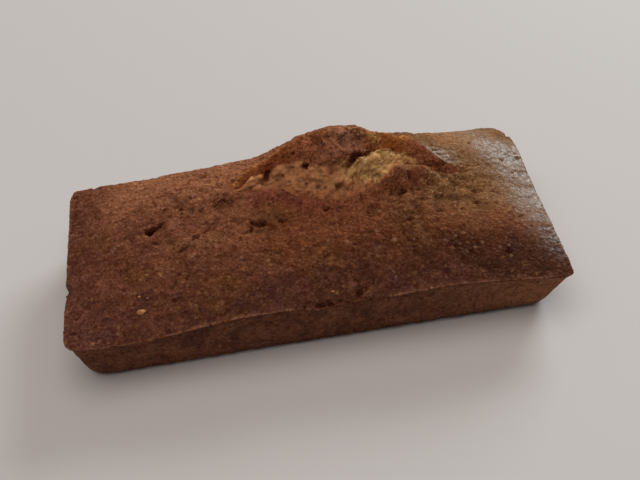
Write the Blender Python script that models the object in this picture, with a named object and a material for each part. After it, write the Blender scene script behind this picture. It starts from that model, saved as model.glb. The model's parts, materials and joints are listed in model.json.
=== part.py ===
"""A financier: a small almond cake, baked in an ingot tin and burst open along its top.

One solid in metres, +Z up. It stands on its flat base, with the origin under its middle.
X runs along the cake, and the burst leans back towards +Y.
"""

import math

import bmesh
import bpy
from mathutils import Vector, noise

MM = 0.001
NAME = "financier"

# The ingot, as the tin shapes it
LENGTH = 95.0 * MM  # at the rim, as is the width
WIDTH = 45.2 * MM
RIM_HEIGHT = 11.6 * MM  # at the corners
RIM_RISE = 1.2 * MM  # and this much more at the middle of the long sides
RIM_WAVE = 0.55 * MM  # the -Y rim rises and falls by this much along its length
RIM_WAVE_LENGTH = 38.0 * MM
RIM_WAVE_LOW = 6.0 * MM  # one of its low places
WAIST = 1.0 * MM  # the long sides draw in by this at mid-length
DRAFT = 3.2 * MM  # how much further in the base lies than the rim, on every side
BASE_SHIFT = 0.6 * MM  # the base lies this far towards -X, so that end is the steeper one
END_SKEW = 0.7 * MM  # at the rim, the +X end falls short by this much towards its +Y corner
BELLY = 1.15  # 1 is a straight wall, and more is a slightly fuller one
BASE_CORNER = 3.2 * MM  # radius in plan
BASE_ROUND = 1.3 * MM  # radius of the edge round the base
# The rim's four corners, by the signs of x and y: radius in plan, and height over RIM_HEIGHT
CORNER_RADIUS = {(-1, -1): 4.4 * MM, (1, -1): 1.8 * MM, (1, 1): 8.0 * MM, (-1, 1): 4.0 * MM}
CORNER_RISE = {(-1, -1): -0.6 * MM, (1, -1): -0.5 * MM, (1, 1): 0.7 * MM, (-1, 1): 0.3 * MM}
LIP_DEPTH = 1.0 * MM  # the thin bead along the rim
LIP_PROUD = 0.35 * MM

# The top crust
CROWN = 5.4 * MM
CROWN_FLAT = 2.6  # 2 is a round arch, more is flatter with squarer shoulders
END_FLAT = 3.6
SWELL = 3.2 * MM  # extra rise of the +Y half, which the burst pushed up
SWELL_X = 10.0 * MM
SWELL_REACH = 46.0 * MM
UNEVEN = 0.22 * MM
UNEVEN_SIZE = 7.0 * MM

# The burst, in mm: x, y of the low front lip, y of the torn ridge, lift of the ridge over the crust
BURST = (
    (-13.5, 6.2, 6.8, 0.0),
    (-10.0, 5.2, 10.0, 0.3),
    (-5.0, 4.6, 12.0, 1.4),
    (1.0, 1.6, 12.2, 4.5),
    (7.0, -0.2, 12.2, 5.8),
    (13.0, 1.6, 12.2, 5.1),
    (16.5, 4.2, 12.0, 2.9),
    (20.0, 6.2, 11.6, 1.8),
    (24.0, 6.0, 10.8, 1.5),
    (27.0, 5.2, 7.8, 0.7),
    (31.0, 2.9, 3.5, 0.0),
)
BURST_ROWS = (17, 17, 12)  # rows of mesh in front of the burst, in it, and behind it
SPREAD = 14.0 * MM  # past the burst's ends the rows spread out again over this distance
NARROWEST = 4.6 * MM  # of the rows in the burst, all together
LIP_CURL = 0.4 * MM  # the crust turns up along the lip, within CURL_WIDTH of it
CURL_WIDTH = 1.5 * MM
LIP_DROP = 0.7 * MM  # and the crumb starts below it
OPEN_WIDTH = 4.0 * MM  # where the burst is this wide, the lip and the crags have their full height
CRUMB_ARCH = 1.2  # more makes the foot of the torn face flatter
CRAG = 1.1 * MM
CRAG_SIZE = 2.6 * MM

# Lumps and pits, in mm: x, y, half length, half width, height, turn in degrees
CRUMB_FORMS = (
    (15.4, 6.0, 5.4, 2.2, 1.0, 8),  # the pale heap of crumb
    (13.6, 9.6, 3.6, 0.9, -2.0, 2),  # the gap under the flap
    (-5.5, 9.0, 0.9, 0.6, -1.3, 60),
    (1.8, 7.0, 0.8, 0.8, -1.2, 0),
    (8.0, 2.4, 1.5, 0.9, -0.8, 0),
)
CRUST_FORMS = (
    (-14.9, 3.6, 2.9, 1.4, -1.3, 5),  # shallow bowl
    (-9.2, -3.8, 2.9, 0.9, -1.6, 4),  # slit
    (-4.7, -3.4, 0.8, 0.7, -1.0, 0),
    (-29.0, 1.0, 1.9, 0.9, -1.4, 20),
    (-16.5, 10.6, 3.6, 0.8, -0.7, 3),
    (-22.6, 5.0, 1.8, 0.7, -0.6, -20),
    (-19.6, -2.4, 2.6, 0.7, -0.6, 25),
    (18.8, 0.0, 1.2, 1.0, -1.2, 0),
    (-4.8, 3.4, 3.2, 1.6, 0.6, -6),  # lumps along the lip
    (17.4, 3.0, 2.2, 1.3, 1.0, 35),
    (20.6, 4.8, 1.5, 1.4, 1.2, 0),
    (25.2, 4.4, 2.0, 1.3, 1.0, -10),
    (27.0, -3.0, 5.0, 0.6, -0.5, -6),
    (34.0, -1.0, 4.0, 0.6, -0.5, -12),
)
RIM_CHIPS = (  # in mm: x, y, radius, depth
    (-47.5, -8.6, 1.4, 0.8),
    (-1.0, -21.6, 2.6, 0.6),
    (8.6, -21.6, 1.4, -0.4),
)

# Where the mesh is cut: lines over the top, and levels down the sides as shares of the height
LINES_X = 88
LINES_Y = sum(BURST_ROWS)
CROWD = 0.17  # how far the lines across the cake crowd together at the burst
CROWD_X = 9.0 * MM
LEVELS = (0.0, 0.045, 0.16, 0.5, 0.89, 0.95, 1.0)

CRUST_COLOUR = (0.105, 0.036, 0.018, 1.0)


def clamp(value, low=0.0, high=1.0):
    return max(low, min(high, value))


def smooth_step(start, end, value):
    share = clamp((value - start) / (end - start))
    return share * share * (3 - 2 * share)


def mix(a, b, share):
    return a + (b - a) * share


def form(x, y, place):
    """A smooth lump or pit at one place of a table."""
    centre_x, centre_y, half_length, half_width, height, turn = place
    angle = math.radians(turn)
    off_x = x / MM - centre_x
    off_y = y / MM - centre_y
    along = (off_x * math.cos(angle) + off_y * math.sin(angle)) / half_length
    across = (off_y * math.cos(angle) - off_x * math.sin(angle)) / half_width
    return height * MM * math.exp(-(along**2 + across**2) ** 1.5)


# ---- The sides


def side_bow(x):
    """1 at mid-length and 0 at the ends."""
    return 1 - (2 * x / LENGTH) ** 2


def round_corner(x, y, half_x, half_y, radius):
    """Moves a point of a rectangle so that its square corners become round."""
    over_x = max(0.0, abs(x) - half_x + radius) / radius
    over_y = max(0.0, abs(y) - half_y + radius) / radius
    new_x = over_x * math.sqrt(1 - over_y**2 / 2)
    new_y = over_y * math.sqrt(1 - over_x**2 / 2)
    x -= math.copysign((over_x - new_x) * radius, x)
    y -= math.copysign((over_y - new_y) * radius, y)
    return x, y


def place_in_plan(u, v, level):
    """Plan position for u and v from -1 to 1. The level is 1 at the rim and 0 at the base."""
    above_base = level * RIM_HEIGHT
    below_rim = RIM_HEIGHT - above_base
    inset = LIP_PROUD * smooth_step(0.2 * LIP_DEPTH, 1.4 * LIP_DEPTH, below_rim)
    inset += (DRAFT - LIP_PROUD) * (1 - level) ** BELLY
    if above_base < BASE_ROUND:
        inset += BASE_ROUND - math.sqrt(BASE_ROUND**2 - (BASE_ROUND - above_base) ** 2)
    half_x = LENGTH / 2 - inset
    half_y = WIDTH / 2 - inset
    rim_corner = CORNER_RADIUS[(1 if u > 0 else -1, 1 if v > 0 else -1)]
    radius = mix(BASE_CORNER, rim_corner, level)
    x, y = round_corner(u * half_x, v * half_y, half_x, half_y, radius)
    x -= BASE_SHIFT * (1 - level)
    x -= END_SKEW * level * max(0.0, u) ** 6 * smooth_step(-1, 1, v)
    return x, y - v * WAIST * level * side_bow(x)


def along_burst(x, y, v):
    """Moves y so that two rows of the top run along the lip and the ridge. The edge is where v is 1."""
    lip, ridge, _ = burst_row(x)
    gap = max(NARROWEST, ridge - lip)
    middle = (lip + ridge) / 2
    outside = max(BURST[0][0] * MM - x, x - BURST[-1][0] * MM, 0.0)
    share = 1 - smooth_step(0, SPREAD, outside)
    lip_v = 2 * BURST_ROWS[0] / LINES_Y - 1
    ridge_v = 1 - 2 * BURST_ROWS[2] / LINES_Y
    edge = y / v if abs(v) > 0.01 else WIDTH / 2 - WAIST * side_bow(x)
    rows = (
        (-1.0, -edge),
        (lip_v, mix(lip_v * edge, middle - gap / 2, share)),
        (ridge_v, mix(ridge_v * edge, middle + gap / 2, share)),
        (1.0, edge),
    )
    for (low_v, low_y), (high_v, high_y) in zip(rows, rows[1:]):
        if v <= high_v + 1e-6:
            return mix(low_y, high_y, (v - low_v) / (high_v - low_v))
    return y


# ---- The top


def burst_row(x):
    """Lip y, ridge y and ridge lift at x, on smooth curves through the rows of BURST."""
    rows = [Vector(row) for row in BURST]
    x /= MM
    last = len(rows) - 2
    i = max(0, min(last, sum(row[0] <= x for row in rows) - 1))
    before, start, end, after = rows[max(0, i - 1)], rows[i], rows[i + 1], rows[min(last + 1, i + 2)]
    span = end[0] - start[0]
    share = clamp((x - start[0]) / span)
    leave = (end - before) / (end[0] - before[0]) * span
    arrive = (after - start) / (after[0] - start[0]) * span
    row = (
        start * (2 * share**3 - 3 * share**2 + 1)
        + end * (3 * share**2 - 2 * share**3)
        + leave * (share**3 - 2 * share**2 + share)
        + arrive * (share**3 - share**2)
    )
    return row[1] * MM, row[2] * MM, max(0.0, row[3] * MM)


def rim_plane(x, v):
    """Height of the rim at v 1 and -1, and of the surface that spans it between them."""
    height = RIM_HEIGHT + RIM_RISE * side_bow(x)
    for (side_x, side_y), rise in CORNER_RISE.items():
        height += rise * (1 + side_x * 2 * x / LENGTH) / 2 * (1 + side_y * v) / 2
    wave = math.cos(2 * math.pi * (x - RIM_WAVE_LOW) / RIM_WAVE_LENGTH)
    return height - RIM_WAVE * wave * clamp(-v) ** 2


def crust(x, y):
    """Height of the unbroken crust."""
    u = clamp(abs(2 * x / LENGTH))
    v = clamp(2 * y / (WIDTH - 2 * WAIST * side_bow(x)), -1, 1)
    height = rim_plane(x, v)
    height += CROWN * (1 - u**END_FLAT) * (1 - abs(v) ** CROWN_FLAT)
    if v > 0:
        reach = clamp(1 - ((x - SWELL_X) / SWELL_REACH) ** 2)
        height += SWELL * reach * (1 - v**6) * smooth_step(0.0, 0.6, v)
    return height


def torn_crumb(x, y, lip, ridge, lift):
    """Height of the crumb between the lip and the ridge."""
    share = (y - lip) / (ridge - lip)
    open_share = smooth_step(0, OPEN_WIDTH, ridge - lip)
    low = crust(x, lip) - LIP_DROP * open_share
    high = crust(x, ridge) + lift
    height = mix(low, high, math.sin(math.pi / 2 * share) ** CRUMB_ARCH)
    for place in CRUMB_FORMS:
        height += form(x, y, place)
    rough = noise.turbulence(Vector((x, y, 0)) / CRAG_SIZE, 3, False) - 0.45
    return height + CRAG * rough * open_share * math.sin(math.pi * share) ** 0.5


def top_height(x, y):
    lip, ridge, lift = burst_row(x)
    in_burst = BURST[0][0] * MM < x < BURST[-1][0] * MM
    if in_burst and lip < y < ridge:
        return torn_crumb(x, y, lip, ridge, lift)
    height = crust(x, y)
    if y >= ridge:
        fall = clamp((y - ridge) / (WIDTH / 2 - ridge))
        height += lift * math.cos(math.pi / 2 * fall)
    elif in_burst:
        curl = LIP_CURL * smooth_step(0, OPEN_WIDTH, ridge - lip)
        height += curl * math.exp(-(((y - lip) / CURL_WIDTH) ** 2))
    for place in CRUST_FORMS:
        height += form(x, y, place)
    return height


def chipped(x, y):
    """How much the rim is chipped away here."""
    depth = 0.0
    for centre_x, centre_y, radius, deep in RIM_CHIPS:
        distance = math.hypot(x / MM - centre_x, y / MM - centre_y)
        depth += deep * MM * math.exp(-((distance / radius) ** 2))
    return depth


# ---- The mesh


def crowded(share, centre):
    """Moves evenly spaced cuts from -1 to 1 closer together round the centre."""
    low, middle, high = (
        value - CROWD * math.sin(math.pi * (value - centre)) for value in (-1, share, 1)
    )
    return 2 * (middle - low) / (high - low) - 1


def cut_block():
    """A cube primitive from -1 to 1, cut along X, Y and Z where the form needs points."""
    mesh = bmesh.new()
    bmesh.ops.create_cube(mesh, size=2)
    cuts = [((1, 0, 0), crowded(2 * i / LINES_X - 1, 2 * CROWD_X / LENGTH)) for i in range(1, LINES_X)]
    cuts += [((0, 1, 0), 2 * i / LINES_Y - 1) for i in range(1, LINES_Y)]
    cuts += [((0, 0, 1), 2 * level - 1) for level in LEVELS[1:-1]]
    for normal, offset in cuts:
        everything = mesh.verts[:] + mesh.edges[:] + mesh.faces[:]
        bmesh.ops.bisect_plane(mesh, geom=everything, plane_co=Vector(normal) * offset, plane_no=normal)
    base = [face for face in mesh.faces if face.normal.z < -0.9]
    bmesh.ops.dissolve_faces(mesh, faces=base, use_verts=False)
    return mesh


def shape_cake(mesh):
    for vertex in mesh.verts:
        u, v, w = vertex.co
        level = (w + 1) / 2
        x, y = place_in_plan(u, v, level)
        on_top = level > 0.999 and max(abs(u), abs(v)) < 0.999
        if on_top:
            y = along_burst(x, y, v)
        top = top_height(x, y) if on_top else crust(x, y)
        top += UNEVEN * noise.fractal(Vector((x, y, 0)) / UNEVEN_SIZE, 0.8, 2.0, 3)
        top -= chipped(x, y)
        vertex.co = (x, y, top * level)


def make_cake():
    mesh = cut_block()
    shape_cake(mesh)
    data = bpy.data.meshes.new(NAME)
    mesh.to_mesh(data)
    mesh.free()
    data.polygons.foreach_set("use_smooth", [True] * len(data.polygons))
    return bpy.data.objects.new(NAME, data)


def crust_material():
    material = bpy.data.materials.new("baked_crust")
    material.use_nodes = True
    surface = material.node_tree.nodes["Principled BSDF"]
    surface.inputs["Base Color"].default_value = CRUST_COLOUR
    surface.inputs["Roughness"].default_value = 0.55
    surface.inputs["Metallic"].default_value = 0.0
    return material


def main():
    for thing in list(bpy.data.objects):
        bpy.data.objects.remove(thing)
    collection = bpy.data.collections.new("financier_cake")
    bpy.context.scene.collection.children.link(collection)
    cake = make_cake()
    cake.data.materials.append(crust_material())
    collection.objects.link(cake)


main()
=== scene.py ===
# The financier's looks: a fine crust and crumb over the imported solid, loose crumbs, floor, light and camera.
import json
import math
import random

import bpy
import numpy as np
from mathutils import Matrix, Vector, kdtree, noise

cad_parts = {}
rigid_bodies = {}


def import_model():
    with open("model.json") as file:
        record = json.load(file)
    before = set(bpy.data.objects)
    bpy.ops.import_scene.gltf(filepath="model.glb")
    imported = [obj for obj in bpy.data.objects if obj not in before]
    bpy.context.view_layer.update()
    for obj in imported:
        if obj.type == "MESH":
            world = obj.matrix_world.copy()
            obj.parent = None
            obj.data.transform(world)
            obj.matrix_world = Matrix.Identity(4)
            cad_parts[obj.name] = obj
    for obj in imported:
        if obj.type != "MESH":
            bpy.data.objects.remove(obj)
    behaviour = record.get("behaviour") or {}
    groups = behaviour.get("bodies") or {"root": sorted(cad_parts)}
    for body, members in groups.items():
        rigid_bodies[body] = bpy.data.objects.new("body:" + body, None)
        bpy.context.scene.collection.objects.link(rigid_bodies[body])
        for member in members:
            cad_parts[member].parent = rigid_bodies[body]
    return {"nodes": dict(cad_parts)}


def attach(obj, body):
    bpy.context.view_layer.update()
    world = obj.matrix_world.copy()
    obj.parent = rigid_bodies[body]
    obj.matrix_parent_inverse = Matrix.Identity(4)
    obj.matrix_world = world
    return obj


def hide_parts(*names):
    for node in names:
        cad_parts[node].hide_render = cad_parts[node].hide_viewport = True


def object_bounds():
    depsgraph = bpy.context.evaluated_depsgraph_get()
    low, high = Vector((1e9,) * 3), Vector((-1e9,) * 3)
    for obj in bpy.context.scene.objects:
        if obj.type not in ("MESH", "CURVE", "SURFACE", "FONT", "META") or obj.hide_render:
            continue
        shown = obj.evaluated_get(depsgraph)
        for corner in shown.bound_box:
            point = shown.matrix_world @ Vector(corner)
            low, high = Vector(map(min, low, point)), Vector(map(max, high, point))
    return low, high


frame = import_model()
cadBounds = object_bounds()
mm = 0.001
solid = frame["nodes"]["financier"]
print("frame loaded")


# camera

view = {
    "target": (3.35 * mm, 8.59 * mm, 0.0),
    "azimuth": -5.35,
    "elevation": 43.52,
    "roll": -5.21,
    "distance": 200.75 * mm,
    "lens": 52.9,
}


def makeCamera(setup):
    turn = (
        Matrix.Rotation(math.radians(setup["azimuth"]), 4, "Z")
        @ Matrix.Rotation(math.radians(90 - setup["elevation"]), 4, "X")
        @ Matrix.Rotation(math.radians(setup["roll"]), 4, "Z")
    )
    data = bpy.data.cameras.new("camera")
    data.lens = setup["lens"]
    data.clip_start = 1 * mm
    camera = bpy.data.objects.new("camera", data)
    bpy.context.scene.collection.objects.link(camera)
    back = Matrix.Translation((0, 0, setup["distance"]))
    camera.matrix_world = Matrix.Translation(setup["target"]) @ turn @ back
    bpy.context.scene.camera = camera


makeCamera(view)
print("camera placed")


# working by hand: selection, edit mode and modifiers


def selectOnly(piece):
    for other in bpy.context.view_layer.objects:
        other.select_set(False)
    piece.select_set(True)
    bpy.context.view_layer.objects.active = piece


def applyModifier(piece, kind, **settings):
    selectOnly(piece)
    modifier = piece.modifiers.new(kind.title(), kind)
    for name, value in settings.items():
        setattr(modifier, name, value)
    bpy.ops.object.modifier_apply(modifier=modifier.name)


def readPoints(piece):
    values = np.zeros(len(piece.data.vertices) * 3, np.float32)
    piece.data.vertices.foreach_get("co", values)
    return values.reshape(-1, 3).astype(float) / mm


def readNormals(piece):
    values = np.zeros(len(piece.data.vertices) * 3, np.float32)
    piece.data.vertex_normals.foreach_get("vector", values)
    return values.reshape(-1, 3).astype(float)


def writePoints(piece, points):
    piece.data.vertices.foreach_set("co", (points * mm).astype(np.float32).ravel())
    piece.data.update()


def writeAttribute(piece, name, values):
    attribute = piece.data.attributes.new(name, "FLOAT", "POINT")
    attribute.data.foreach_set("value", values.astype(np.float32))


# soft steps and noise over many points at once, all in mm


def ease(low, high, values):
    share = np.clip((values - low) / (high - low), 0, 1)
    return share * share * (3 - 2 * share)


def hump(middle, reach, values):
    return np.exp(-(((values - middle) / reach) ** 2))


noise.seed_set(3)  # without a seed noise_vector differs at each start
octaves = 2  # levels of detail in the noise


def swells(spot):
    # soft hills and dips, from about -1 to 1
    return noise.fractal(spot, 0.8, 2.0, octaves)


def knobs(spot):
    # round knobs with thin creases between them, about 0 in the middle
    return noise.turbulence(spot, octaves, True) - 0.42


def cobbles(spot):
    # knobs of different heights, side by side as in crumb
    distances, centres = noise.voronoi(spot + 0.25 * noise.noise_vector(spot * 1.7))
    return 0.55 - 1.5 * distances[0] ** 2 + 0.5 * (noise.cell(centres[0] * 31.0) - 0.5)


def relief(maker, points, size, stretch=(1, 1, 1), where=None):
    heights = np.zeros(len(points))
    spots = points * np.array(stretch) / size + 7.3 * size
    chosen = range(len(points)) if where is None else np.nonzero(where > 0.01)[0]
    for i in chosen:
        heights[i] = maker(Vector(spots[i]))
    return heights if where is None else heights * where


def smoothRow(table, values):
    # smooth curves through the rows of a table, against its first column
    rows = np.array(table, float)
    place = np.clip(np.searchsorted(rows[:, 0], values, "right") - 1, 0, len(rows) - 2)
    before, start, end, after = (rows[np.clip(place + step, 0, len(rows) - 1)] for step in (-1, 0, 1, 2))
    span = (end - start)[:, :1]
    share = np.clip((values[:, None] - start[:, :1]) / span, 0, 1)
    leave = (end - before) / (end - before)[:, :1] * span
    arrive = (after - start) / (after - start)[:, :1] * span
    row = start * (2 * share**3 - 3 * share**2 + 1) + end * (3 * share**2 - 2 * share**3)
    row += leave * (share**3 - 2 * share**2 + share) + arrive * (share**3 - share**2)
    return row[:, 1:].T


# the cake's body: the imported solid, finer

cakeShape = {
    "levels": 2,  # each level halves the size of the solid's faces
    "rimAngle": 50.0,  # the rim is sharper than this
    "rimReach": 0.86,  # and lies farther out than this share of the solid's box
    "rimHeight": 6.0,  # and higher than this
}


def makeCake(shape):
    data = solid.data.copy()
    cake = bpy.data.objects.new("cake", data)
    bpy.context.scene.collection.objects.link(cake)
    selectOnly(cake)
    bpy.ops.object.mode_set(mode="EDIT")
    bpy.ops.mesh.select_all(action="SELECT")
    bpy.ops.mesh.remove_doubles(threshold=1e-6)
    bpy.ops.mesh.tris_convert_to_quads(face_threshold=math.radians(70), shape_threshold=math.radians(60))
    bpy.ops.mesh.select_all(action="DESELECT")
    bpy.ops.object.mode_set(mode="OBJECT")
    for face in data.polygons:
        face.select = face.normal.z < -0.999 and face.center.z < 0.01 * mm
    bpy.ops.object.mode_set(mode="EDIT")
    bpy.ops.mesh.delete(type="FACE")  # the flat underside comes back once the rest is fine
    bpy.ops.mesh.select_mode(type="EDGE")
    bpy.ops.mesh.edges_select_sharp(sharpness=math.radians(shape["rimAngle"]))
    bpy.ops.object.mode_set(mode="OBJECT")
    rim = cake.vertex_groups.new(name="rim")
    onRim = []
    for point in data.vertices:
        outside = max(point.co[i] / cadBounds[point.co[i] > 0][i] for i in (0, 1))
        if point.select and outside > shape["rimReach"] and point.co.z > shape["rimHeight"] * mm:
            onRim.append(point.index)
    rim.add(onRim, 1.0, "REPLACE")
    applyModifier(cake, "SUBSURF", levels=shape["levels"], render_levels=shape["levels"])
    bpy.ops.object.mode_set(mode="EDIT")
    bpy.ops.mesh.select_mode(type="EDGE")
    bpy.ops.mesh.select_all(action="DESELECT")
    bpy.ops.mesh.select_non_manifold()
    bpy.ops.mesh.edge_face_add()
    bpy.ops.mesh.select_all(action="SELECT")
    bpy.ops.mesh.normals_make_consistent(inside=False)
    bpy.ops.mesh.select_all(action="DESELECT")
    bpy.ops.object.mode_set(mode="OBJECT")
    if data.has_custom_normals:
        bpy.ops.mesh.customdata_custom_splitnormals_clear()
    for face in data.polygons:
        face.use_smooth = len(face.vertices) == 4
    return cake


cake = makeCake(cakeShape)
print("cake body:", len(cake.data.vertices), "points")


# where the crust has burst, near the lines of the solid

# x, y of the low front lip, y of the torn ridge, and how much of the face the dark cap leaves open
burstLines = [
    (-13.5, 6.2, 6.8, 0.50),
    (-10.0, 5.2, 10.0, 0.60),
    (-5.0, 4.6, 12.0, 0.66),
    (-1.0, 2.9, 12.2, 0.60),
    (3.0, 0.8, 12.2, 0.50),
    (7.0, -0.2, 12.2, 0.48),
    (11.0, 0.6, 12.2, 0.52),
    (13.5, 1.6, 12.2, 0.57),
    (15.5, 1.8, 12.1, 0.70),
    (17.5, 2.6, 11.9, 0.72),
    (20.0, 5.0, 11.6, 0.60),
    (24.0, 5.6, 10.8, 0.46),
    (27.0, 5.2, 7.8, 0.20),
    (31.0, 2.9, 3.5, 0.05),
]
# the dark band where the flap runs out: x, y, half width
flapBand = [
    (24.1, 9.2, 1.0),
    (25.6, 7.5, 1.1),
    (27.2, 5.9, 1.1),
    (29.3, 4.9, 0.9),
    (31.2, 4.5, 0.5),
    (32.4, 4.3, 0.2),
]
halfLength, halfWidth = 47.5, 22.5  # of the cake, at the rim
wallTop = 8.0  # what lies lower than this is wall
paleHeap = (14.9, 7.2, 7.0, 4.6)  # x, y, half length and half width of the palest crumb
lumpyPatch = (21.6, 3.4, 3.6, 2.3)  # and of the lumps in front of the flap
brokenRim = (6.6, 3.6)  # x and half length of the place where the thin front rim is broken off


def overBand(points, line):
    # signed distance from a line seen from above, behind it positive, and the line's half width at that place
    away, width = np.full(len(points), 99.0), np.full(len(points), 1.0)
    for (startX, startY, startWidth), (endX, endY, endWidth) in zip(line, line[1:]):
        along = np.array((endX - startX, endY - startY))
        off = points[:, :2] - (startX, startY)
        share = np.clip(off @ along / (along @ along), 0, 1)
        gap = np.linalg.norm(off - share[:, None] * along, axis=1)
        side = np.sign(along[0] * off[:, 1] - along[1] * off[:, 0])
        nearer = gap < np.abs(away)
        away = np.where(nearer, gap * side, away)
        width = np.where(nearer, startWidth + (endWidth - startWidth) * share, width)
    return away, width


def readBurst(points):
    # for each point: how far up the torn face it lies, the width of the burst there, and where the cap starts
    x, y = points[:, 0], points[:, 1]
    lip, ridge, brow = smoothRow(burstLines, x)
    width = np.maximum(ridge - lip, 0.4)
    inside = (x > burstLines[0][0]) * (x < burstLines[-1][0])
    return {"share": (y - lip) / width, "width": width * inside, "brow": brow, "lip": lip, "ridge": ridge}


def findZones(points, normals, rimWeights):
    # soft masks of the cake's surfaces
    x, y = points.T[:2]
    burst = readBurst(points)
    ragged = relief(swells, points, 1.3)
    share = burst["share"] + 0.04 * ragged
    opening = ease(0.4, 2.0, burst["width"])
    face = opening * ease(-0.5, 1.5, y - burst["lip"] + 0.5 * ragged) * ease(0.35, -0.15, y - burst["ridge"])
    cap = ease(burst["brow"] - 0.05, burst["brow"] + 0.05, share + 0.04 * ragged)
    middle = ease(-3.0, 2.0, x) * ease(17.0, 12.5, x)
    away, bandWidth = overBand(points, flapBand)
    band = ease(1.15, 0.75, np.abs(away + 0.15 * ragged) / bandWidth)
    outwards = np.maximum(np.abs(x) / halfLength, np.abs(y) / halfWidth)
    outer = ease(0.72, 0.5, normals[:, 2]) * ease(0.84, 0.9, outwards)
    heapX, heapY, heapLong, heapWide = paleHeap
    lumpX, lumpY, lumpLong, lumpWide = lumpyPatch
    zones = {
        "wall": outer * (1 - np.minimum(1, rimWeights * 1.5)),
        "rim": rimWeights * (1 - 0.85 * hump(*brokenRim, x) * (y < -10)),
        "crumb": face * (1 - cap) * (1 - band),
        "edge": np.maximum(face * cap * (1 - middle), band),
        "pale": ease(1.25, 0.75, np.hypot((x - heapX) / heapLong, (y - heapY) / heapWide) + 0.25 * ragged),
        "inside": ease(0.2, 2.6, y - burst["lip"] + 1.0 * ragged),
        "share": share,
        "gold": opening * hump(0.3, 0.8, y - burst["ridge"]) * ease(27.0, 24.0, x),
    }
    crest = middle * hump(0.0, 1.6, np.maximum(y - burst["ridge"], 0)) * ease(0.3, 0.9, burst["share"])
    zones["crest"] = crest * (1 - zones["crumb"])
    zones["crust"] = (1 - face) * (1 - outer)
    beforeLip = hump(-1.5, 2.0, y - burst["lip"] + 0.6 * ragged)
    zones["lumpy"] = np.minimum(1, 1.3 * hump(lumpX, lumpLong, x) * hump(lumpY, lumpWide, y))
    onLip = beforeLip * ease(-12.5, -9.0, x) * ease(14.0, 8.0, x)
    zones["blush"] = zones["crust"] * np.maximum(onLip, zones["lumpy"])
    burst["away"] = away
    return zones, burst


def readRim(piece):
    group = piece.vertex_groups["rim"].index
    weights = np.zeros(len(piece.data.vertices))
    for point in piece.data.vertices:
        for entry in point.groups:
            if entry.group == group:
                weights[point.index] = entry.weight
    piece.vertex_groups.clear()
    return weights


# relief, all in mm

# for each kind of surface: the maker, the size of its forms, their height, and how they are stretched
layers = {
    "crust": [
        (swells, 6.0, 0.20, (1, 1, 1)),
        (swells, 2.4, 0.20, (1, 1, 1)),
        (cobbles, 1.2, 0.22, (0.8, 1.1, 1)),
        (knobs, 0.65, 0.12, (1, 1, 1)),
    ],
    "rough": [(cobbles, 2.0, 0.56, (0.8, 1.1, 1)), (knobs, 0.9, 0.24, (1, 1, 1))],
    "wrinkled": [(cobbles, 0.9, 0.06, (1.2, 0.7, 0.8))],
    "crumb": [
        (cobbles, 2.2, 0.50, (1, 1, 1)),
        (cobbles, 1.1, 0.34, (1, 1, 1)),
        (knobs, 0.6, 0.20, (1, 1, 1)),
    ],
    "crest": [
        (cobbles, 2.4, 0.55, (1, 1, 1)),
        (cobbles, 1.3, 0.45, (1, 1, 1)),
        (knobs, 0.7, 0.14, (1, 1, 1)),
    ],
    "edge": [(cobbles, 1.6, 0.25, (1, 1, 1)), (knobs, 0.7, 0.16, (1, 1, 1))],
    "wall": [(swells, 5.0, 0.16, (1, 1, 1)), (knobs, 0.7, 0.12, (1, 1, 1))],
    "rim": [(swells, 3.0, 0.16, (1, 1, 1)), (knobs, 0.75, 0.16, (1, 1, 1))],
    "frontRim": [(knobs, 0.8, 0.40, (1, 1, 1))],
}
burstShape = {
    "heap": (15.4, 2.6, 0.6),  # x, half length and height of the pale crumb pushed up in front of the gap
    "flap": (18.5, 3.6, 1.1),  # and of the flap's edge behind it
    "overhang": 1.0,  # how far the cap hangs forward
    "gap": 1.2,  # and how deep the gap under it goes
    "scarp": 1.3,  # the step down over the flap's dark band
}
rimBead = (0.20, 0.12)  # how far the thin rim stands out and up
# round lumps on the crust: x, y, half length, half width, height, turn
lumps = [
    (19.5, 3.3, 1.8, 2.2, 1.3, 10),
    (23.7, 3.3, 2.1, 1.9, 1.2, -5),
    (17.0, 1.9, 1.9, 1.2, 0.8, 35),
    (26.8, 3.0, 1.3, 1.2, 0.8, 0),
    (29.0, 3.2, 1.4, 1.0, 0.6, -20),
    (24.0, -0.6, 1.5, 1.0, 0.6, 10),
    (28.4, -0.2, 1.7, 1.1, 0.6, -10),
    (31.6, 1.4, 1.4, 0.9, 0.5, -20),
    (-7.5, 3.7, 2.0, 1.3, 0.5, -5),
    (-3.6, 3.2, 1.8, 1.2, 0.5, -10),
    (-32.0, 2.2, 1.6, 0.8, 0.3, 20),
    (-27.0, -0.2, 2.6, 0.8, 0.3, 15),
    (-21.5, 7.2, 2.2, 0.9, 0.4, 20),
    (-18.3, 5.4, 1.6, 0.9, 0.4, 0),
    (5.6, -19.5, 1.8, 1.3, 1.0, 20),
    (4.9, -20.8, 0.9, 0.7, 0.5, 20),
    (10.8, -20.0, 1.2, 0.6, 0.6, 90),
    (0.4, -20.6, 2.0, 0.5, 0.4, 4),
]


def lump(points, place):
    x, y, half, wide, tall, turn = place
    turn = math.radians(turn)
    offX, offY = points[:, 0] - x, points[:, 1] - y
    along = (offX * math.cos(turn) + offY * math.sin(turn)) / half
    across = (offY * math.cos(turn) - offX * math.sin(turn)) / wide
    return tall * np.clip(1 - along**2 - across**2, 0, 1) ** 0.8


def burstLift(points, zones, burst):
    x, y = points.T[:2]
    middle, reach, tall = burstShape["heap"]
    crumbly = 0.4 * relief(knobs, points, 1.2, where=zones["crumb"])
    lift = tall * hump(middle, reach, x) * ease(1.5, 8.0, y) * ease(9.6, 8.6, y + crumbly)
    middle, reach, tall = burstShape["flap"]
    return lift + tall * hump(middle, reach, x) * hump(0.0, 1.3, y - burst["ridge"])


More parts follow.
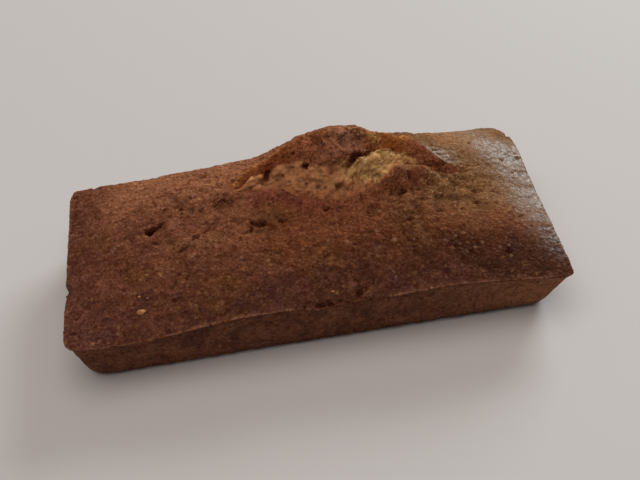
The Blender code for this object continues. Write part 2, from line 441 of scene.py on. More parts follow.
def raiseRelief(points, normals, zones, burst):
    x, y, z = points.T
    masks = dict(zones)
    calm = 1 - 0.7 * zones["lumpy"]
    around = ease(10.0, 18.0, x) * ease(39.0, 28.0, x) * ease(-10.0, -3.0, y) * ease(9.0, 4.0, y)
    masks["crust"] = zones["crust"] * (1 - 0.65 * ease(26.0, 38.0, x)) * calm
    onLeft = 0.6 * hump(-22.0, 13.0, x) * hump(1.0, 8.0, y)
    masks["rough"] = zones["crust"] * calm * np.maximum(around, onLeft)
    masks["wrinkled"] = zones["crust"] * ease(26.0, 40.0, x)
    masks["frontRim"] = zones["rim"] * ease(-5.0, -15.0, y)
    height = np.zeros(len(points))
    for name, rows in layers.items():
        for maker, size, tall, stretch in rows:
            height += tall * relief(maker, points, size, stretch, masks[name])
    height *= ease(0.0, 1.6, z)  # the foot stays as it is
    moved = points + normals * height[:, None]
    brow, share = burst["brow"], zones["share"]
    hangs = ease(2.0, 8.0, x) * ease(17.0, 14.5, x) * ease(0.5, 2.0, burst["width"])
    over = hangs * hump(0.13, 0.11, share - brow) * burstShape["overhang"]
    under = hangs * hump(-0.05, 0.06, share - brow) * burstShape["gap"]
    moved += over[:, None] * np.array((0, -0.85, 0.15)) + under[:, None] * np.array((0, 0.45, -0.9))
    moved[:, 2] += burstLift(points, zones, burst)
    scarp = hump(0.0, 2.2, burst["away"]) * (ease(-1.0, 1.0, burst["away"]) - 0.5)
    scarp = scarp * ease(22.0, 25.0, x) * ease(34.0, 30.0, x)
    moved[:, 2] += burstShape["scarp"] * scarp * (z > wallTop)
    for place in lumps:
        moved[:, 2] += lump(points, place) * (z > wallTop)
    bead = ease(0.35, 0.9, zones["rim"])
    outwards = normals[:, :2] / np.maximum(np.linalg.norm(normals[:, :2], axis=1), 0.2)[:, None]
    moved[:, :2] += outwards * (bead * rimBead[0])[:, None]
    moved[:, 2] += bead * rimBead[1]
    return moved, height, under


# pits: pores in the crust, the walls and the crumb

pits = {
    "crust": {"count": 1000, "radius": (0.20, 0.42), "depth": (0.20, 0.55), "long": 1.6},
    "dimples": {"count": 170, "radius": (0.45, 0.90), "depth": (0.12, 0.30), "long": 1.6},
    "right": {"count": 60, "radius": (0.15, 0.36), "depth": (0.15, 0.5), "long": 2.4},
    "wall": {"count": 420, "radius": (0.16, 0.38), "depth": (0.10, 0.35), "long": 1.3},
    "crumb": {"count": 18, "radius": (0.18, 0.40), "depth": (0.2, 0.6), "long": 1.6},
}
# the cake's own cracks and holes: x, y, half length, half width, depth, turn
cracks = [
    (-30.2, 1.2, 1.0, 0.80, 1.3, 25),
    (-29.2, 1.6, 1.5, 0.60, 1.2, 18),
    (-27.8, 2.1, 1.3, 0.36, 0.9, 12),
    (-29.1, -2.6, 0.6, 0.50, 0.9, 0),
    (-35.6, -1.5, 0.8, 0.55, 0.6, 30),
    (-21.1, -3.4, 1.0, 0.55, 1.3, 30),
    (-19.5, -2.3, 1.3, 0.50, 1.0, 30),
    (-17.9, -2.0, 1.0, 0.50, 1.2, 5),
    (-23.7, -5.9, 1.8, 0.45, 0.7, 25),
    (-23.7, 4.8, 0.8, 0.40, 0.5, 0),
    (-21.4, 4.2, 1.7, 0.38, 0.8, 85),
    (-19.5, 3.5, 0.8, 0.50, 0.8, 0),
    (-9.2, 1.7, 0.5, 0.40, 0.7, 0),
    (-10.3, -2.3, 1.0, 0.50, 1.0, -10),
    (-8.9, -2.8, 1.6, 0.70, 1.5, 0),
    (-7.3, -3.1, 1.0, 0.40, 0.9, 0),
    (-10.4, -3.7, 0.9, 0.45, 1.1, 70),
    (-11.5, -4.4, 1.1, 0.28, 0.9, 12),
    (-4.7, -2.9, 0.55, 0.55, 1.3, 0),
    (-2.8, -1.5, 0.4, 0.4, 0.8, 0),
    (-5.6, 0.9, 0.4, 0.35, 0.7, 0),
    (4.0, -2.2, 0.65, 0.45, 1.0, 10),
    (6.2, -2.7, 0.5, 0.38, 0.8, 0),
    (6.0, -6.3, 0.7, 0.38, 0.7, 30),
    (8.4, -5.0, 0.5, 0.40, 0.6, 70),
    (11.8, -4.2, 0.5, 0.38, 0.7, 0),
    (19.1, -7.5, 0.8, 0.50, 1.0, 10),
    (-16.6, -19.0, 0.6, 0.5, 0.9, 30),
    (-26.2, -16.4, 0.45, 0.4, 0.8, 0),
    (-23.9, -12.6, 0.5, 0.35, 0.7, 50),
    (-24.9, -11.4, 0.5, 0.45, 0.9, 0),
    (-30.3, -13.1, 0.4, 0.4, 0.7, 0),
    (-44.6, -14.9, 0.6, 0.5, 0.8, 0),
    (-45.0, -18.0, 0.6, 0.4, 0.7, 0),
    (-35.8, -11.7, 0.5, 0.45, 0.6, 0),
    (36.4, -16.2, 0.8, 0.50, 1.1, 20),
    (34.0, -18.9, 0.6, 0.40, 0.9, 30),
    (33.9, -0.8, 1.5, 0.40, 1.0, -12),
    (33.3, -4.3, 1.3, 0.35, 0.8, -8),
    (21.6, -4.4, 1.3, 0.35, 0.9, 25),
    (25.6, -6.3, 1.2, 0.35, 0.8, 5),
    (40.9, -8.0, 0.7, 0.35, 0.6, 10),
    (19.3, 0.3, 1.4, 0.50, 1.6, 5),
    (21.7, 3.4, 1.7, 0.50, 0.8, 82),
    (12.6, 7.0, 2.4, 1.10, 2.4, 30),
    (25.5, 1.2, 1.4, 0.40, 0.8, -15),
    (-26.6, 9.9, 1.8, 0.35, 0.5, 14),
    (-23.5, 10.1, 1.6, 0.35, 0.6, 20),
    (-20.1, 12.8, 2.4, 0.45, 0.6, 14),
    (-12.7, 8.6, 1.6, 0.45, 0.5, 50),
    (6.9, -20.3, 0.9, 0.55, 1.3, 15),
    (-0.4, -21.2, 1.1, 0.45, 1.1, 5),
    (1.6, -21.2, 0.8, 0.40, 0.9, -5),
    (3.3, -21.0, 0.6, 0.35, 0.7, 10),
    (-47.3, -6.3, 1.7, 0.7, 0.9, 90),
    (-6.0, 9.2, 1.2, 0.45, 1.1, 62),
    (-6.8, 7.9, 0.6, 0.40, 0.7, 60),
    (1.8, 7.0, 0.65, 0.55, 1.1, 0),
    (7.5, 2.8, 1.1, 0.70, 0.6, 0),
    (-2.5, 10.6, 0.6, 0.45, 0.8, 50),
    (-0.5, 9.8, 0.7, 0.50, 0.8, 60),
]
# soft dents, the same way; the first is the large bowl in front of the burst's left end
dents = [
    (-14.6, 3.4, 2.9, 1.8, 0.9, 5),
    (-35.6, 0.6, 2.2, 1.2, 0.4, 20),
    (-44.0, 4.0, 3.0, 2.0, 0.3, 60),
    (11.8, 4.0, 1.6, 0.9, 0.3, 20),
    (36.5, 2.5, 3.0, 1.0, 0.3, -20),
]
# pale grains of almond in the crust: x, y, radius, strength
almonds = [
    (6.4, -10.8, 0.7, 0.9),
    (2.8, -10.2, 0.9, 0.5),
    (15.3, -11.9, 0.9, 0.8),
    (-22.1, -8.3, 0.8, 0.9),
    (-13.1, -10.4, 0.6, 0.9),
    (-17.6, -6.2, 0.6, 0.8),
    (-28.8, -10.4, 0.6, 0.8),
    (0.2, -13.0, 0.5, 0.7),
    (-37.0, -0.6, 1.1, 0.5),
    (-33.9, -13.3, 0.9, 0.6),
    (-34.4, -14.6, 0.8, 0.5),
    (-24.0, -14.0, 0.5, 0.6),
    (26.9, 2.6, 1.5, 0.8),
    (28.6, 0.2, 1.0, 0.5),
    (8.6, -20.6, 0.8, 0.9),
    (5.3, -19.4, 1.7, 0.25),
]


tornSize = 0.8  # how coarsely the outline of a pit is torn


def faceSpots(piece, masks, seed):
    # a draw of points from the faces, by their area and by a mask on the points
    faces = piece.data.polygons
    count = len(faces)
    areas, centres = np.zeros(count), np.zeros(count * 3)
    faces.foreach_get("area", areas)
    faces.foreach_get("center", centres)
    firsts = np.array([face.vertices[0] for face in faces])
    areas[np.array([len(face.vertices) != 4 for face in faces])] = 0
    draw = np.random.default_rng(seed)
    centres = centres.reshape(-1, 3) / mm

    def drawSpots(name, number):
        weights = areas * masks[name][firsts]
        return centres[draw.choice(count, number, p=weights / weights.sum())]

    return drawSpots


def carve(points, normals, tree, pit, depths, brim=0.0, torn=0.55):
    # one oval pit; its brim may be raised, and its outline is torn a little
    centre, half, wide, deep, turn = pit
    along = np.array((math.cos(turn), math.sin(turn), 0.0))
    near = [index for _, index, _ in tree.find_range(centre, half * 1.6)]
    if not near:
        return
    normal = normals[near].mean(axis=0)
    along = along - normal * (along @ normal)
    along /= np.linalg.norm(along)
    across = np.cross(normal, along)
    off = points[near] - np.array(centre)
    ragged = 1 + torn * np.array([swells(point / tornSize) for point in points[near]])
    reach = np.sqrt((off @ along / half) ** 2 + (off @ across / wide) ** 2) * ragged
    bowl = np.clip(1 - reach**2, 0, 1) ** 1.5
    depths[near] += deep * bowl
    depths[near] -= brim * deep * hump(1.2, 0.25, reach)


def pitTree(points):
    tree = kdtree.KDTree(len(points))
    for i, point in enumerate(points):
        tree.insert(point, i)
    tree.balance()
    return tree


def makePits(piece, points, normals, zones):
    tree = pitTree(points)
    depths = np.zeros(len(points))
    x, y = points[:, 0], points[:, 1]
    masks = dict(zones)
    masks["crust"] = zones["crust"] * (0.35 + ease(-0.3, 0.6, relief(swells, points, 9.0)))
    masks["right"] = zones["crust"] * ease(8.0, 20.0, x) * ease(38.0, 30.0, x) * ease(-18.0, -8.0, y)
    masks["crust"] *= (1 - 0.8 * ease(30.0, 38.0, x)) * (1 - zones["lumpy"])
    masks["right"] *= 1 - zones["lumpy"]
    masks["dimples"] = zones["crust"] * ease(14.0, 4.0, x) * ease(-14.0, -6.0, y) * (1 - zones["blush"])
    bowlX, bowlY = dents[0][:2]
    masks["dimples"] *= np.hypot(x - bowlX, y - bowlY) > 4.0  # none in the bowl
    drawSpots = faceSpots(piece, masks, 11)
    draw = random.Random(12)
    for name, setup in pits.items():
        for centre in drawSpots(name, setup["count"]):
            size = draw.random() ** 2.2
            wide = setup["radius"][0] + (setup["radius"][1] - setup["radius"][0]) * size
            deep = setup["depth"][0] + (setup["depth"][1] - setup["depth"][0]) * size
            half = wide * (1 + (setup["long"] - 1) * draw.random())
            carve(points, normals, tree, (centre, half, wide, deep, draw.uniform(-0.6, 0.9)), depths, 0.12)
    above = points[zones["wall"] < 0.3]  # without the walls
    flat = kdtree.KDTree(len(above))
    for i, point in enumerate(above):
        flat.insert((point[0], point[1], 0), i)
    flat.balance()
    for x, y, half, wide, deep, turn in cracks:
        centre = above[flat.find((x, y, 0))[1]]
        carve(points, normals, tree, (centre, half, wide, deep, math.radians(turn)), depths)
    hollows = np.zeros(len(points))
    for x, y, half, wide, deep, turn in dents:
        centre = above[flat.find((x, y, 0))[1]]
        carve(points, normals, tree, (centre, half, wide, deep, math.radians(turn)), hollows, 0.06, 0.2)
    pale = np.zeros(len(points))
    for x, y, radius, strength in almonds:
        centre = above[flat.find((x, y, 0))[1]]
        near = [index for _, index, _ in tree.find_range(centre, radius * 2)]
        away = np.linalg.norm(points[near] - centre, axis=1)
        pale[near] = np.maximum(pale[near], strength * ease(radius * 0.9, radius * 0.3, away))
    return depths, hollows, pale


def keepInside(points, margin=0.9):
    # whatever stands nearer than the margin to the solid's box is pressed gently back into it
    lowest, highest = (np.array(corner) / mm for corner in cadBounds)
    over = np.maximum(points - (highest - margin), 0)
    points = points - over + margin * np.tanh(over / margin)
    under = np.maximum((lowest + margin) - points, 0)
    under[:, 2] = 0
    points = points + under - margin * np.tanh(under / margin)
    return np.clip(points, lowest, highest)


def dressCake(piece):
    points, normals = readPoints(piece), readNormals(piece)
    zones, burst = findZones(points, normals, readRim(piece))
    depths, hollows, almond = makePits(piece, points, normals, zones)
    raised, height, under = raiseRelief(points, normals, zones, burst)
    raised -= normals * ((depths + hollows - 0.25 * almond) * ease(0.3, 1.2, points[:, 2]))[:, None]
    writePoints(piece, keepInside(raised))
    for name in ("wall", "rim", "crumb", "edge", "pale", "inside", "crest", "gold", "blush"):
        writeAttribute(piece, name, zones[name])
    # painted shade: darker in the carved pits, in the gap under the cap and a little in the dents
    writeAttribute(piece, "paintedShade", np.clip(depths / 0.9 + 0.2 * under + 0.03 * hollows, 0, 1))
    writeAttribute(piece, "almond", almond)
    # the relief's height, which the colour follows as painted shade in low places and painted light on high
    # ones
    writeAttribute(piece, "relief", np.clip(0.5 + height, 0, 1))


dressCake(cake)
print("relief made")


# shader maths: sums and products of sockets


class Wire:
    def __init__(self, finish, socket):
        self.finish = finish
        self.socket = socket

    def combine(self, operation, first, second):
        return self.finish.node("Math", {"operation": operation}, {0: first, 1: second})

    def __add__(self, other):
        return self.combine("ADD", self, other)

    def __radd__(self, other):
        return self.combine("ADD", other, self)

    def __sub__(self, other):
        return self.combine("SUBTRACT", self, other)

    def __rsub__(self, other):
        return self.combine("SUBTRACT", other, self)

    def __mul__(self, other):
        return self.combine("MULTIPLY", self, other)

    def __rmul__(self, other):
        return self.combine("MULTIPLY", other, self)

    def __pow__(self, other):
        return self.combine("POWER", self, other)


class Finish:
    def __init__(self, name):
        self.material = bpy.data.materials.new(name)
        self.material.use_nodes = True
        self.tree = self.material.node_tree
        self.surface = self.tree.nodes["Principled BSDF"]

    def feed(self, socket, value):
        if isinstance(value, Wire):
            self.tree.links.new(value.socket, socket)
        else:
            socket.default_value = value

    def node(self, kind, settings, values, output=0):
        made = self.tree.nodes.new("ShaderNode" + kind)
        for name, value in settings.items():
            setattr(made, name, value)
        for key, value in values.items():
            self.feed(made.inputs[key], value)
        return Wire(self, made.outputs[output])

    def coordinates(self):
        # object coordinates in mm
        place = self.node("TexCoord", {}, {}, "Object")
        return self.node("VectorMath", {"operation": "SCALE"}, {0: place, "Scale": 1 / mm})

    def attribute(self, name):
        return self.node("Attribute", {"attribute_name": name}, {}, "Fac")

    def step(self, value, low, high):
        ends = {"Value": value, "From Min": low, "From Max": high}
        return self.node("MapRange", {"interpolation_type": "SMOOTHSTEP"}, ends)

    def noise(self, place, size, detail=2.0, rough=0.55, output="Fac"):
        values = {"Vector": place, "Scale": 1 / size, "Detail": detail, "Roughness": rough}
        return self.node("TexNoise", {}, values, output)

    def cells(self, place, size, output="Distance"):
        return self.node("TexVoronoi", {"feature": "F1"}, {"Vector": place, "Scale": 1 / size}, output)

    def draws(self, place, size):
        # one random value for each cell
        return self.node("SeparateColor", {}, {0: self.cells(place, size, "Color")})

    def dots(self, place, size, reach, chosen):
        # round dots in some of the cells
        dot = self.step(self.cells(place, size), *reach)
        return dot * self.step(self.draws(place, size), *chosen)

    def warp(self, place, size, reach):
        # places pushed about, for ragged cells
        push = self.noise(place, size, 1.0, 0.5, "Color")
        values = {0: push, 1: (reach, reach, reach), 2: place}
        return self.node("VectorMath", {"operation": "MULTIPLY_ADD"}, values)

    def blend(self, share, first, second):
        return self.node("Mix", {"data_type": "RGBA"}, {0: share, 6: first, 7: second}, 2)

    def tint(self, share, colour, by):
        settings = {"data_type": "RGBA", "blend_type": "MULTIPLY"}
        return self.node("Mix", settings, {0: share, 6: colour, 7: by}, 2)

    def shade(self, colour, strength):
        return self.node("VectorMath", {"operation": "SCALE"}, {0: colour, "Scale": strength})

    def axes(self, place):
        split = self.node("SeparateXYZ", {}, {0: place})
        return [Wire(self, output) for output in split.socket.node.outputs]

    def bumps(self, height, reach):
        return self.node("Bump", {}, {"Height": height, "Distance": reach, "Strength": 1.0})


def tone(red, green, blue):
    # a screen colour as the linear values of a shader
    values = [level / 255 for level in (red, green, blue)]
    linear = [level / 12.92 if level < 0.04045 else ((level + 0.055) / 1.055) ** 2.4 for level in values]
    return tuple(linear) + (1,)


# baked crust and torn crumb

bakedCrust = {
    "left": tone(118, 69, 51),
    "middle": tone(120, 68, 42),
    "toasted": tone(86, 51, 48),  # the dark purplish patches along the front
    "front": tone(90, 54, 44),
    "back": tone(156, 100, 71),
    "golden": tone(136, 95, 60),
    "leftEnd": tone(103, 61, 51),
    "wall": tone(123, 78, 60),
    "wallDark": tone(94, 58, 47),
    "wallRight": tone(139, 92, 68),
    # the thin rim line, lighter than the crust: partly a painted highlight along the edge
    "rim": tone(172, 118, 93),
    "blush": tone(138, 74, 60),
    "lumps": tone(118, 64, 46),
    "cap": tone(149, 85, 56),
    "capTan": tone(155, 102, 73),
    "capSpots": tone(117, 58, 40),
    "ridge": tone(196, 124, 64),  # the thin golden edge along the top of the tear
    # pale grains on the cap, partly painted glints, and the painted glints beyond the lumps
    "grainsAndPaintedGlints": tone(200, 158, 136),
    # painted highlight: the lit tops of the lumps, and the back right corner, partly a painted sheen
    "paintedHighlight": tone(186, 132, 92),
    "sugar": tone(160, 114, 88),  # the greyish grains on the cap
    "paintedSheen": tone(150, 130, 112),  # painted sheen: a pale grey-tan put in the colour under the thin shine
    "edge": tone(143, 80, 39),
    "edgeFar": tone(144, 85, 58),
    "edgeLeft": tone(128, 66, 38),
    "lip": tone(162, 98, 64),
    "crumb": tone(182, 124, 84),
    "farCrumb": tone(196, 147, 92),  # inside the flap
    "paleCrumb": tone(199, 152, 96),
    "almond": tone(172, 128, 92),
    "light": tone(174, 122, 74),  # light grains all over the crust, partly painted light on bump tops
    "olive": tone(110, 70, 38),
    "paintedCreaseShade": (0.54, 0.415, 0.325, 1),  # what the fine dark and light places do to a colour: random tone, with painted shade in the knobs' creases and painted light on their tops
    "paintedTopLight": (1.56, 1.65, 1.62, 1),
    "warmth": (0.60, 0.56, 0.46, 1),  # the crust beyond the burst is deeper and browner
    # the colour of the painted shade in the pits, in the gap under the cap and in the pore dots
    "paintedShade": tone(82, 34, 18),
}

# how large the patches and grains of each kind are, in mm
grainSizes = {
    "drift": 9.0,  # how far apart the bends in the borders between the colours are
    "patches": 5.0,
    "mottled": 11.0,
    "torn": 2.2,
    "capSpots": 1.5,
    "ragged": 0.8,
    "fine": 0.5,
    "grain": 0.75,
    "light": 0.9,
    "hole": 1.05,
    "blotch": 1.5,
    "speck": 1.6,
    "cap": 0.6,
    "paintedGlint": 0.75,
    "sheenNoise": 0.35,
    "wet": 0.5,
    "bumps": 0.6,
}
driftReach = 14  # how far the borders between the colours wander, in mm
raggedReach = 0.35  # and the outlines of the grains
crustGloss = {
    "roughness": 0.60,
    "specular": 0.03,
    "coatRoughness": 0.34,
    "shine": 0.27,  # coat of the thin shine
    "glint": 0.34,  # and of the glints in it
    "wet": 0.8,  # and of the wet pale crumb
    "bump": 0.14,  # in mm
}


def crustColour(crust, place, drift, patches, colours, sizes):
    # broad changes of colour over the top and the sides
    x, y = crust.axes(place)[:2]
    wall, rim, blush = (crust.attribute(name) for name in ("wall", "rim", "blush"))
    # lighter toward the back and darker toward the front: partly painted light and painted shade
    back = crust.step(y + drift, -1.0, 12.0) * crust.step(x, 18.0, 4.0) * crust.step(x, -45.0, -33.0)
    front = crust.step(y + drift, -8.0, -19.0)
    right = crust.step(x + drift, 12.0, 30.0) * crust.step(y + drift, -13.0, 1.0)
    tan = crust.step(x + drift, -33.0, -22.0) * crust.step(x + drift, -4.0, -14.0)
    tan = tan * crust.step(y + drift * 0.5, -14.0, -4.0)
    mottled = crust.step(crust.noise(place, sizes["mottled"], 2.0), 0.46, 0.62)
    toasted = crust.step(patches, 0.50, 0.66) * (0.25 + 0.75 * front)
    colour = crust.blend(crust.step(x + drift, -28.0, -4.0), colours["left"], colours["middle"])
    colour = crust.blend(mottled * 0.6, colour, colours["olive"])
    colour = crust.blend(tan * (0.3 + 0.35 * crust.step(y, -2.0, 6.0)), colour, colours["back"])
    colour = crust.blend(back, colour, colours["back"])
    colour = crust.blend(right, colour, colours["golden"])
    # the back right corner lighter: partly a painted sheen
    backRight = crust.step(x + drift * 0.5, 26.0, 33.0) * crust.step(x, 43.0, 36.0) * crust.step(y, 9.0, 14.0)
    colour = crust.blend(backRight * 0.5, colour, colours["paintedHighlight"])
    frontShare = 0.8 - 0.35 * crust.step(x, -8.0, -20.0) + 0.3 * crust.step(x, -36.0, -43.0)
    colour = crust.blend(front * frontShare, colour, colours["front"])
    leftEnd = crust.step(x + drift * 0.5, -36.0, -46.0) * (0.8 - crust.step(y, -6.0, 6.0) * 0.6)
    colour = crust.blend(leftEnd, colour, colours["leftEnd"])
    colour = crust.blend(toasted * 0.8, colour, colours["toasted"])
    beforeTear = crust.blend(crust.step(x, -2.0, 8.0), colours["blush"], colours["lumps"])
    # painted highlight on the lumps' tops
    paintedHighlight = crust.step(y, 4.2, 5.8) * crust.step(x, 16.0, 18.0)
    beforeTear = crust.blend(paintedHighlight * 0.7, beforeTear, colours["paintedHighlight"])
    colour = crust.blend(blush * 0.8, colour, beforeTear)
    rightRim = crust.step(x, 24.0, 34.0) * 6
    beyond = crust.step(x + drift * 0.5, 0.0, 34.0) * crust.step(y + rightRim, -20.0, -14.0)
    beyond = beyond * crust.step(y + x * 0.1, -4.0, -11.0)
    colour = crust.tint(beyond, colour, colours["warmth"])
    sides = crust.blend(crust.step(patches, 0.38, 0.66), colours["wall"], colours["wallDark"])
    sides = crust.blend(crust.step(x + drift, 10.0, 44.0), sides, colours["wallRight"])
    colour = crust.blend(wall, colour, sides)
    # the thin rim line, partly a painted highlight along the edge
    return crust.blend(rim ** 4 * crust.step(patches, 0.3, 0.6) * 0.75, colour, colours["rim"])


def burstColour(crust, place, drift, patches, base, colours, sizes):
    # the cap, the flap's edge, the golden ridge, and the crumb inside
    x, y = crust.axes(place)[:2]
    names = ("crest", "edge", "gold", "crumb", "pale", "inside")
    crest, edge, gold, crumb, pale, inside = (crust.attribute(name) for name in names)
    soft = crust.noise(place, sizes["torn"], 3.0, 0.55)
    spots = crust.step(crust.noise(place, sizes["capSpots"], 2.0, 0.5), 0.54, 0.68)
    tan = crust.step(x + drift * 0.3, 2.0, 9.0) * crust.step(patches, 0.3, 0.6)
    cap = crust.blend(tan, colours["cap"], colours["capTan"])
    cap = crust.blend(spots * 0.65, cap, colours["capSpots"])
    colour = crust.blend(crest, base, cap)
    flap = crust.blend(crust.step(x, 20.0, 25.0), colours["edge"], colours["edgeFar"])
    flap = crust.blend(crust.step(x, 3.0, -3.0), flap, colours["edgeLeft"])
    colour = crust.blend(edge, colour, flap)
    colour = crust.blend(gold * crust.step(soft, 0.3, 0.6) * (0.70 - crest * 0.5), colour, colours["ridge"])
    flapRoot = crust.step(x, 14.0, 15.5) * crust.step(x, 18.2, 17.0) * crust.step(y, 9.5, 11.0)
    colour = crust.blend(flapRoot * edge * 0.6, colour, colours["farCrumb"])
    torn = crust.blend(pale * crust.step(soft, 0.2, 0.5), colours["crumb"], colours["paleCrumb"])
    torn = crust.blend(crust.step(soft, 0.54, 0.72) * 0.5, torn, colours["lip"])
    torn = crust.blend(crust.step(x, 19.5, 22.0) * crust.step(y, 6.0, 7.5), torn, colours["farCrumb"])
    torn = crust.blend(inside, colours["lip"], torn)
    return crust.blend(crumb, colour, torn)


def shineCover(crust, place, drift, crumb):
    # how much thin shine there is, at the +X end and behind the flap; it sets the coat and also the painted
    # sheen in the colour
    x, y = crust.axes(place)[:2]
    end = crust.step(x + y * 0.3 + drift * 0.25, 33.0, 47.0) * crust.step(y, -22.0, -17.0) * 0.9
    end = end * (1 - crust.step(x, 38.0, 45.0) * crust.step(y, 11.0, 18.0) * 0.9)
    behindFlap = crust.step(x, 24.5, 27.0) * crust.step(x, 35.0, 30.0)
    behindFlap = behindFlap * crust.step(y, 5.0, 6.5) * crust.step(y, 12.0, 8.5)
    cover = (1 - (1 - end) * (1 - behindFlap * 0.8)) * (1 - crust.attribute("edge"))
    return cover * (1 - crumb) * (1 - crust.attribute("wall"))


def addSpecks(crust, place, ragged, fine, colour, crumb, crest, colours, sizes):
    # light grains, partly painted light on bump tops; almond; and the pale grains on the cap, partly painted
    # glints
    x, y = crust.axes(place)[:2]
    lightGrain = crust.step(crust.noise(place, sizes["light"], 2.0, 0.5), 0.54, 0.72) * (1 - crumb * 0.5)
    colour = crust.blend(lightGrain * 0.20, colour, colours["light"])
    speck = crust.dots(ragged, sizes["speck"], (0.30, 0.10), (0.60, 0.80)) * (1 - crumb)
    colour = crust.blend(speck * 0.35, colour, colours["almond"])
    almond = crust.attribute("almond") * crust.step(fine, 0.3, 0.5)
    colour = crust.blend(almond * 0.5, colour, colours["almond"])
    capGrainsAndPaintedGlints = crust.dots(place, sizes["cap"], (0.45, 0.15), (0.45, 0.75))
    onCap = crest * crust.step(x, 2.0, 8.0) * crust.step(x, 16.0, 13.0)
    veil = onCap * crust.step(x, 7.0, 11.0) * crust.step(y, 12.2, 11.0)
    colour = crust.blend(veil * 0.28, colour, colours["sugar"])
    return crust.blend(capGrainsAndPaintedGlints * onCap * 0.6, colour, colours["grainsAndPaintedGlints"])


def makeCrust(colours, sizes, gloss):
    crust = Finish("bakedCrust")
    place = crust.coordinates()
    x, y, z = crust.axes(place)
    crumb, crest, paintedShade, relief = (crust.attribute(name) for name in ("crumb", "crest", "paintedShade", "relief"))
    drift = (crust.noise(place, sizes["drift"], 3.0) - 0.5) * driftReach
    patches = crust.noise(place, sizes["patches"], 3.0, 0.65)
    colour = crustColour(crust, place, drift, patches, colours, sizes)
    colour = burstColour(crust, place, drift, patches, colour, colours, sizes)
    cover = shineCover(crust, place, drift, crumb)

    # grains and pores
    ragged = crust.warp(place, sizes["ragged"], raggedReach)
    fine = crust.noise(place, sizes["fine"], 2.0, 0.45)
    blotch = crust.noise(place, sizes["blotch"], 2.0, 0.55)
    grain = crust.draws(ragged, sizes["grain"])
    knob = crust.step(crust.cells(ragged, sizes["grain"]), 0.62, 0.15)
    # painted shade and light: the knobs' creases darker and their tops lighter, mixed with random tone
    light = crust.step(fine, 0.30, 0.70) * 0.20 + grain * 0.26 + knob * 0.34
    light = light + crust.step(blotch, 0.3, 0.7) * 0.20
    uneven = (1 - crumb * 0.5) * (1 - crest * 0.3) * (1 - cover * 0.4)
    colour = crust.tint(uneven, colour, crust.blend(light, colours["paintedCreaseShade"], colours["paintedTopLight"]))
    # painted shade and light: low places of the relief darker, high ones lighter
    colour = crust.shade(colour, 0.66 + relief * 0.62)
    colour = addSpecks(crust, place, ragged, fine, colour, crumb, crest, colours, sizes)
    # dark dots for pores too small to carve, and the carved pits and the gap: painted shade
    hole = crust.dots(ragged, sizes["hole"], (0.38, 0.18), (0.40, 0.55)) * (1 - crumb)
    dark = 1 - (1 - paintedShade * 0.9) * (1 - hole * 0.62 * (1 - cover * 0.7))
    colour = crust.blend(dark, colour, colours["paintedShade"])
    beyondLumps = crust.step(x, 22.0, 26.0) * crust.step(x, 38.0, 34.0)
    beyondLumps = beyondLumps * crust.step(y, -5.0, -1.0) * crust.step(y, 7.0, 4.5)
    # painted glints: pale dots in the colour on the crust beyond the lumps
    paintedGlint = crust.dots(place, sizes["paintedGlint"], (0.34, 0.12), (0.70, 0.85))
    colour = crust.blend(paintedGlint * beyondLumps * (1 - dark) * 0.5, colour, colours["grainsAndPaintedGlints"])

    # gloss: matt crust, with glints that close up into a thin shine, which is also painted into the colour as
    # a grainy pale sheen
    streaks = crust.node("CombineXYZ", {}, {0: x * 0.36 - y * 0.27, 1: x * 0.6 + y * 0.8, 2: z})
    sheenNoise = crust.noise(streaks, sizes["sheenNoise"], 2.0, 0.6)
    glint = crust.step(sheenNoise + cover * 0.2, 0.60, 0.76)
    # painted sheen: grains of the colour turn pale grey-tan where the shine lies
    paintedSheen = crust.step(sheenNoise + cover * 0.12, 0.50, 0.66) * cover * 0.5
    shiny = cover * cover * gloss["shine"] + glint * (0.12 + cover) * gloss["glint"]
    shiny = shiny * (1 - crumb) * (1 - paintedShade)
    wet = crust.step(crust.noise(place, sizes["wet"], 1.0), 0.54, 0.66) * crumb * crust.attribute("pale")
    coat = shiny * crust.step(x, 8.0, 22.0) + wet * gloss["wet"]
    height = crust.noise(place, sizes["bumps"], 3.0, 0.55) * 1.8 + knob * 1.3 - hole * 0.8
    height = height * (1 - crumb * 0.75)
    height = height + (crust.noise(streaks, sizes["bumps"], 2.0) * 3 + sheenNoise * 5) * cover
    crust.feed(crust.surface.inputs["Base Color"], crust.blend(paintedSheen, colour, colours["paintedSheen"]))
    crust.feed(crust.surface.inputs["Roughness"], gloss["roughness"] + fine * 0.2)
    crust.feed(crust.surface.inputs["Coat Weight"], coat)
    crust.feed(crust.surface.inputs["Normal"], crust.bumps(height, gloss["bump"] * mm))
    crust.surface.inputs["Coat Roughness"].default_value = gloss["coatRoughness"]
    crust.surface.inputs["Specular IOR Level"].default_value = gloss["specular"]
    return crust.material


cake.data.materials.clear()
cake.data.materials.append(makeCrust(bakedCrust, grainSizes, crustGloss))
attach(cake, "root")
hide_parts("financier")
print("crust finished")


# loose crumbs lying on the crust

looseCrumbs = {
    "places": [(-32.6, -17.4, 0.62), (-32.7, -13.8, 0.26), (-31.3, -14.6, 0.18), (2.2, -19.4, 0.24)],
    "uneven": 0.35,  # how lumpy they are, as a share of their size
    "sunk": 0.35,  # how much of each lies in the crust's hollows
}


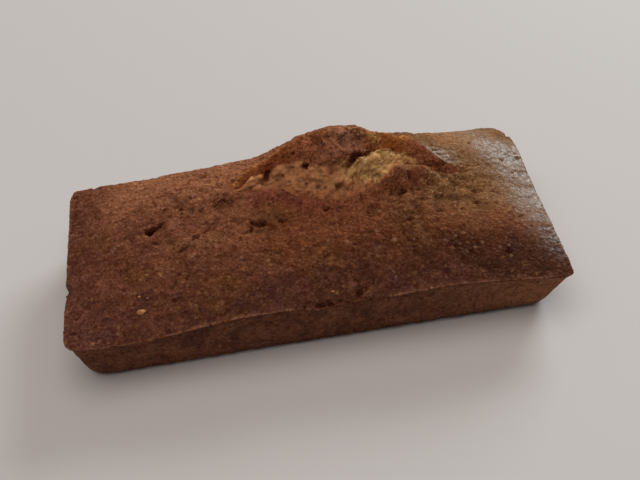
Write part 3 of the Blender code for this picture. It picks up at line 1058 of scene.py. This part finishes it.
def makeLooseCrumbs(setup):
    bpy.context.view_layer.update()
    pieces = []
    for number, (x, y, radius) in enumerate(setup["places"]):
        _, spot, normal, _ = cake.ray_cast((x * mm, y * mm, 30 * mm), (0, 0, -1))
        bpy.ops.mesh.primitive_ico_sphere_add(subdivisions=3 if radius > 0.4 else 2, radius=radius)
        crumb = bpy.context.object
        centre = np.array(spot) / mm + np.array(normal) * radius * (1 - setup["sunk"])
        points = np.array([point.co for point in crumb.data.vertices])
        bumps = [noise.noise(Vector(point) * 2.2 / radius + Vector((number * 9.1, 0, 0))) for point in points]
        points *= (1 + setup["uneven"] * np.array(bumps))[:, None] * np.array((1.25, 0.85, 0.8))
        writePoints(crumb, points + centre)
        pieces.append(crumb)
    selectOnly(pieces[0])
    for crumb in pieces:
        crumb.select_set(True)
    bpy.ops.object.join()
    bpy.ops.object.shade_smooth()
    joined = bpy.context.object
    joined.name = "looseCrumbs"
    return joined


def makeCrumbFinish():
    crumbs = Finish("toastedCrumb")
    place = crumbs.coordinates()
    toast = crumbs.step(crumbs.noise(place, 0.7, 2.0), 0.35, 0.65)
    colour = crumbs.blend(toast, tone(198, 136, 86), tone(160, 98, 58))
    crumbs.feed(crumbs.surface.inputs["Base Color"], colour)
    crumbs.feed(crumbs.surface.inputs["Roughness"], 0.5 + toast * 0.25)
    crumbs.feed(crumbs.surface.inputs["Normal"], crumbs.bumps(crumbs.noise(place, 0.3, 2.0), 0.1 * mm))
    crumbs.surface.inputs["Specular IOR Level"].default_value = 0.2
    return crumbs.material


loose = makeLooseCrumbs(looseCrumbs)
loose.data.materials.append(makeCrumbFinish())
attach(loose, "root")
print("loose crumbs made")


# floor, world and light

stage = {
    "floorColour": (0.61, 0.56, 0.535, 1),
    "floorSize": 3.0,
    "worldColour": (0.80, 0.78, 0.78, 1),
    "worldStrength": 0.20,
}


def makeFloor(setup):
    bpy.ops.mesh.primitive_plane_add(size=setup["floorSize"], location=(0, 0, 0))
    floor = bpy.context.object
    floor.name = "floor"
    material = bpy.data.materials.new("floorPaper")
    material.use_nodes = True
    surface = material.node_tree.nodes["Principled BSDF"]
    surface.inputs["Base Color"].default_value = setup["floorColour"]
    surface.inputs["Roughness"].default_value = 0.8
    floor.data.materials.append(material)


def makeWorld(setup):
    world = bpy.data.worlds.new("studio")
    world.use_nodes = True
    background = world.node_tree.nodes["Background"]
    background.inputs["Color"].default_value = setup["worldColour"]
    background.inputs["Strength"].default_value = setup["worldStrength"]
    bpy.context.scene.world = world


lamps = {
    "window": {"at": (0.88, 1.14, 0.64), "size": (0.84, 0.60), "power": 19.0, "colour": (0.86, 0.97, 1.0)},
    "ceiling": {"at": (-0.15, -0.12, 1.50), "size": (1.6, 1.6), "power": 14.0, "colour": (1.0, 0.96, 0.93)},
}


def makeLamps(setups):
    for name, setup in setups.items():
        data = bpy.data.lights.new(name, "AREA")
        data.shape = "RECTANGLE"
        data.size, data.size_y = setup["size"]
        data.energy = setup["power"]
        data.color = setup["colour"]
        lamp = bpy.data.objects.new(name, data)
        bpy.context.scene.collection.objects.link(lamp)
        lamp.location = setup["at"]
        lamp.rotation_euler = Vector(setup["at"]).to_track_quat("Z", "Y").to_euler()


makeFloor(stage)
makeWorld(stage)
makeLamps(lamps)
print("floor and lamps placed")
bpy.context.scene.view_settings.view_transform = "Standard"
